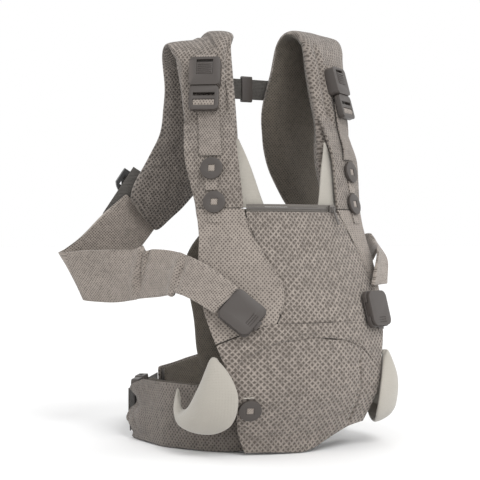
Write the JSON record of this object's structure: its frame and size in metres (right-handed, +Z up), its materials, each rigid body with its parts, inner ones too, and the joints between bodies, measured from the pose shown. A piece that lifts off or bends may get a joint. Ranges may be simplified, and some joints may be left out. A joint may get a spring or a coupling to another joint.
{
  "type": "soft baby carrier",
  "caption": "Two-layer soft baby carrier with padded waist belt, looped padded shoulder straps, magnetic buckles, leg cuffs and zipped head support.",
  "frame": {"origin": "centre of the waist belt ring, where the wearer's waist passes through", "axes": "+Z up along the wearer's body, outer panel faces -Y, +X towards the wearer's left"},
  "size_m": [0.3925, 0.3622, 0.4985],
  "materials": {
    "taupe_mesh": "coarse diamond spacer mesh, matt",
    "taupe_twill": "fine woven strap fabric, matt",
    "cream_jersey": "smooth soft jersey, matt",
    "dark_lining": "fine knitted lining, matt",
    "foam": "closed-cell foam sheet",
    "webbing": "ribbed polyester webbing",
    "zip_plastic": "coil zip, satin",
    "buckle_plastic": "fine-textured moulded plastic",
    "magnet_steel": "plated magnet discs"
  },
  "bodies": {
    "root": {"belt_cover": "taupe_mesh", "belt_foam": "foam", "belt_lining": "dark_lining", "waist_web_left": "webbing", "waist_web_right": "webbing", "waist_web_tail": "webbing", "waist_buckle_socket": "buckle_plastic", "centre_panel": "taupe_mesh", "left_panel_wing": "taupe_mesh", "right_panel_wing": "taupe_mesh", "seat_band": "taupe_mesh", "seat_panel": "taupe_mesh", "panel_lining": "dark_lining", "seat_base": "dark_lining", "apron": "dark_lining", "left_leg_cuff": "cream_jersey", "right_leg_cuff": "cream_jersey", "left_neck_wing": "cream_jersey", "right_neck_wing": "cream_jersey", "zip_tape": "webbing", "zip_teeth": "zip_plastic", "left_head_strap": "taupe_mesh", "right_head_strap": "taupe_mesh", "left_strap_web": "taupe_twill", "right_strap_web": "taupe_twill", "left_shoulder_pad": "taupe_mesh", "right_shoulder_pad": "taupe_mesh", "left_underarm_strap": "taupe_twill", "right_underarm_strap": "taupe_twill", "chest_web": "webbing", "adjuster_webs": "webbing", "left_shoulder_housing": "buckle_plastic", "right_shoulder_housing": "buckle_plastic", "left_side_base": "buckle_plastic", "right_side_base": "buckle_plastic", "buckle_magnets": "magnet_steel", "snap_studs": "buckle_plastic"},
    "left_shoulder_frame": {"left_shoulder_frame": "buckle_plastic"},
    "left_shoulder_release": {"left_shoulder_release": "buckle_plastic"},
    "right_shoulder_frame": {"right_shoulder_frame": "buckle_plastic"},
    "right_shoulder_release": {"right_shoulder_release": "buckle_plastic"},
    "left_side_cover": {"left_side_cover": "buckle_plastic"},
    "left_side_release": {"left_side_release": "buckle_plastic"},
    "right_side_cover": {"right_side_cover": "buckle_plastic"},
    "right_side_release": {"right_side_release": "buckle_plastic"},
    "waist_buckle_plug": {"waist_buckle_plug": "buckle_plastic"},
    "waist_tail_keeper": {"waist_tail_keeper": "webbing"},
    "chest_glide": {"chest_glide": "buckle_plastic"},
    "left_adjuster": {"left_adjuster": "buckle_plastic"},
    "right_adjuster": {"right_adjuster": "buckle_plastic"},
    "zip_slider": {"zip_slider": "zip_plastic"},
    "zip_pull": {"zip_pull": "zip_plastic"},
    "left_upper_snap": {"left_upper_snap": "buckle_plastic"},
    "left_lower_snap": {"left_lower_snap": "buckle_plastic"},
    "right_upper_snap": {"right_upper_snap": "buckle_plastic"},
    "right_lower_snap": {"right_lower_snap": "buckle_plastic"},
    "belt_snap": {"belt_snap": "buckle_plastic"}
  },
  "joints": [
    {"name": "left_shoulder_unclip", "type": "slide", "parent": "root", "child": "left_shoulder_frame", "axis": [-0.1405, -0.2249, -0.9642], "range_m": [0, 0.008]},
    {"name": "left_shoulder_release_slide", "type": "slide", "parent": "root", "child": "left_shoulder_release", "axis": [0.1405, 0.2249, 0.9642], "range_m": [0, 0.003], "stiffness_N_per_m": 300},
    {"name": "right_shoulder_unclip", "type": "slide", "parent": "root", "child": "right_shoulder_frame", "axis": [0.1559, -0.2145, -0.9642], "range_m": [0, 0.008]},
    {"name": "right_shoulder_release_slide", "type": "slide", "parent": "root", "child": "right_shoulder_release", "axis": [-0.1559, 0.2145, 0.9642], "range_m": [0, 0.003], "stiffness_N_per_m": 300},
    {"name": "left_side_unclip", "type": "slide", "parent": "root", "child": "left_side_cover", "axis": [0.6638, -0.0894, 0.7425], "range_m": [0, 0.009]},
    {"name": "left_side_release_press", "type": "slide", "parent": "root", "child": "left_side_release", "axis": [-0.6355, 0.456, 0.623], "range_m": [0, 0.0025], "stiffness_N_per_m": 300},
    {"name": "right_side_unclip", "type": "slide", "parent": "root", "child": "right_side_cover", "axis": [0.8829, 0.4695, 0], "range_m": [0, 0.009]},
    {"name": "right_side_release_press", "type": "slide", "parent": "root", "child": "right_side_release", "axis": [-0.1154, 0.2171, 0.9693], "range_m": [0, 0.0025], "stiffness_N_per_m": 300},
    {"name": "waist_unclip", "type": "slide", "parent": "root", "child": "waist_buckle_plug", "axis": [-0.5416, -0.8406, 0], "range_m": [0, 0.014]},
    {"name": "tail_keeper_slide", "type": "slide", "parent": "root", "child": "waist_tail_keeper", "axis": [-0.5416, -0.8406, 0], "range_m": [-0.003, 0.008]},
    {"name": "chest_glide_slide", "type": "slide", "parent": "root", "child": "chest_glide", "axis": [1, 0, 0], "range_m": [-0.016, 0.008]},
    {"name": "left_adjuster_tilt", "type": "hinge", "parent": "root", "child": "left_adjuster", "pos_m": [-0.12864, 0.02157, 0.27359], "axis": [0.8572, 0, -0.515], "range_deg": [0, 25]},
    {"name": "right_adjuster_tilt", "type": "hinge", "parent": "root", "child": "right_adjuster", "pos_m": [0.12864, 0.02157, 0.27359], "axis": [0.8572, 0, 0.515], "range_deg": [0, 25]},
    {"name": "zip_travel", "type": "hinge", "parent": "root", "child": "zip_slider", "pos_m": [0, 0.01235, 0.233], "axis": [0, 0, 1], "range_deg": [-34, 0]},
    {"name": "zip_pull_swing", "type": "hinge", "parent": "zip_slider", "child": "zip_pull", "pos_m": [0.05005, -0.15137, 0.233], "axis": [-0.9563, -0.2924, 0], "range_deg": [0, 110]},
    {"name": "left_upper_snap_pull_off", "type": "slide", "parent": "root", "child": "left_upper_snap", "axis": [-0.5198, -0.8319, 0.1942], "range_m": [0, 0.005]},
    {"name": "left_lower_snap_pull_off", "type": "slide", "parent": "root", "child": "left_lower_snap", "axis": [-0.5159, -0.8256, 0.2285], "range_m": [0, 0.005]},
    {"name": "right_upper_snap_pull_off", "type": "slide", "parent": "root", "child": "right_upper_snap", "axis": [0.5198, -0.8319, 0.1942], "range_m": [0, 0.005]},
    {"name": "right_lower_snap_pull_off", "type": "slide", "parent": "root", "child": "right_lower_snap", "axis": [0.5159, -0.8256, 0.2285], "range_m": [0, 0.005]},
    {"name": "belt_snap_pull_off", "type": "slide", "parent": "root", "child": "belt_snap", "axis": [-0.2727, -0.8702, -0.4104], "range_m": [0, 0.005]}
  ]
}
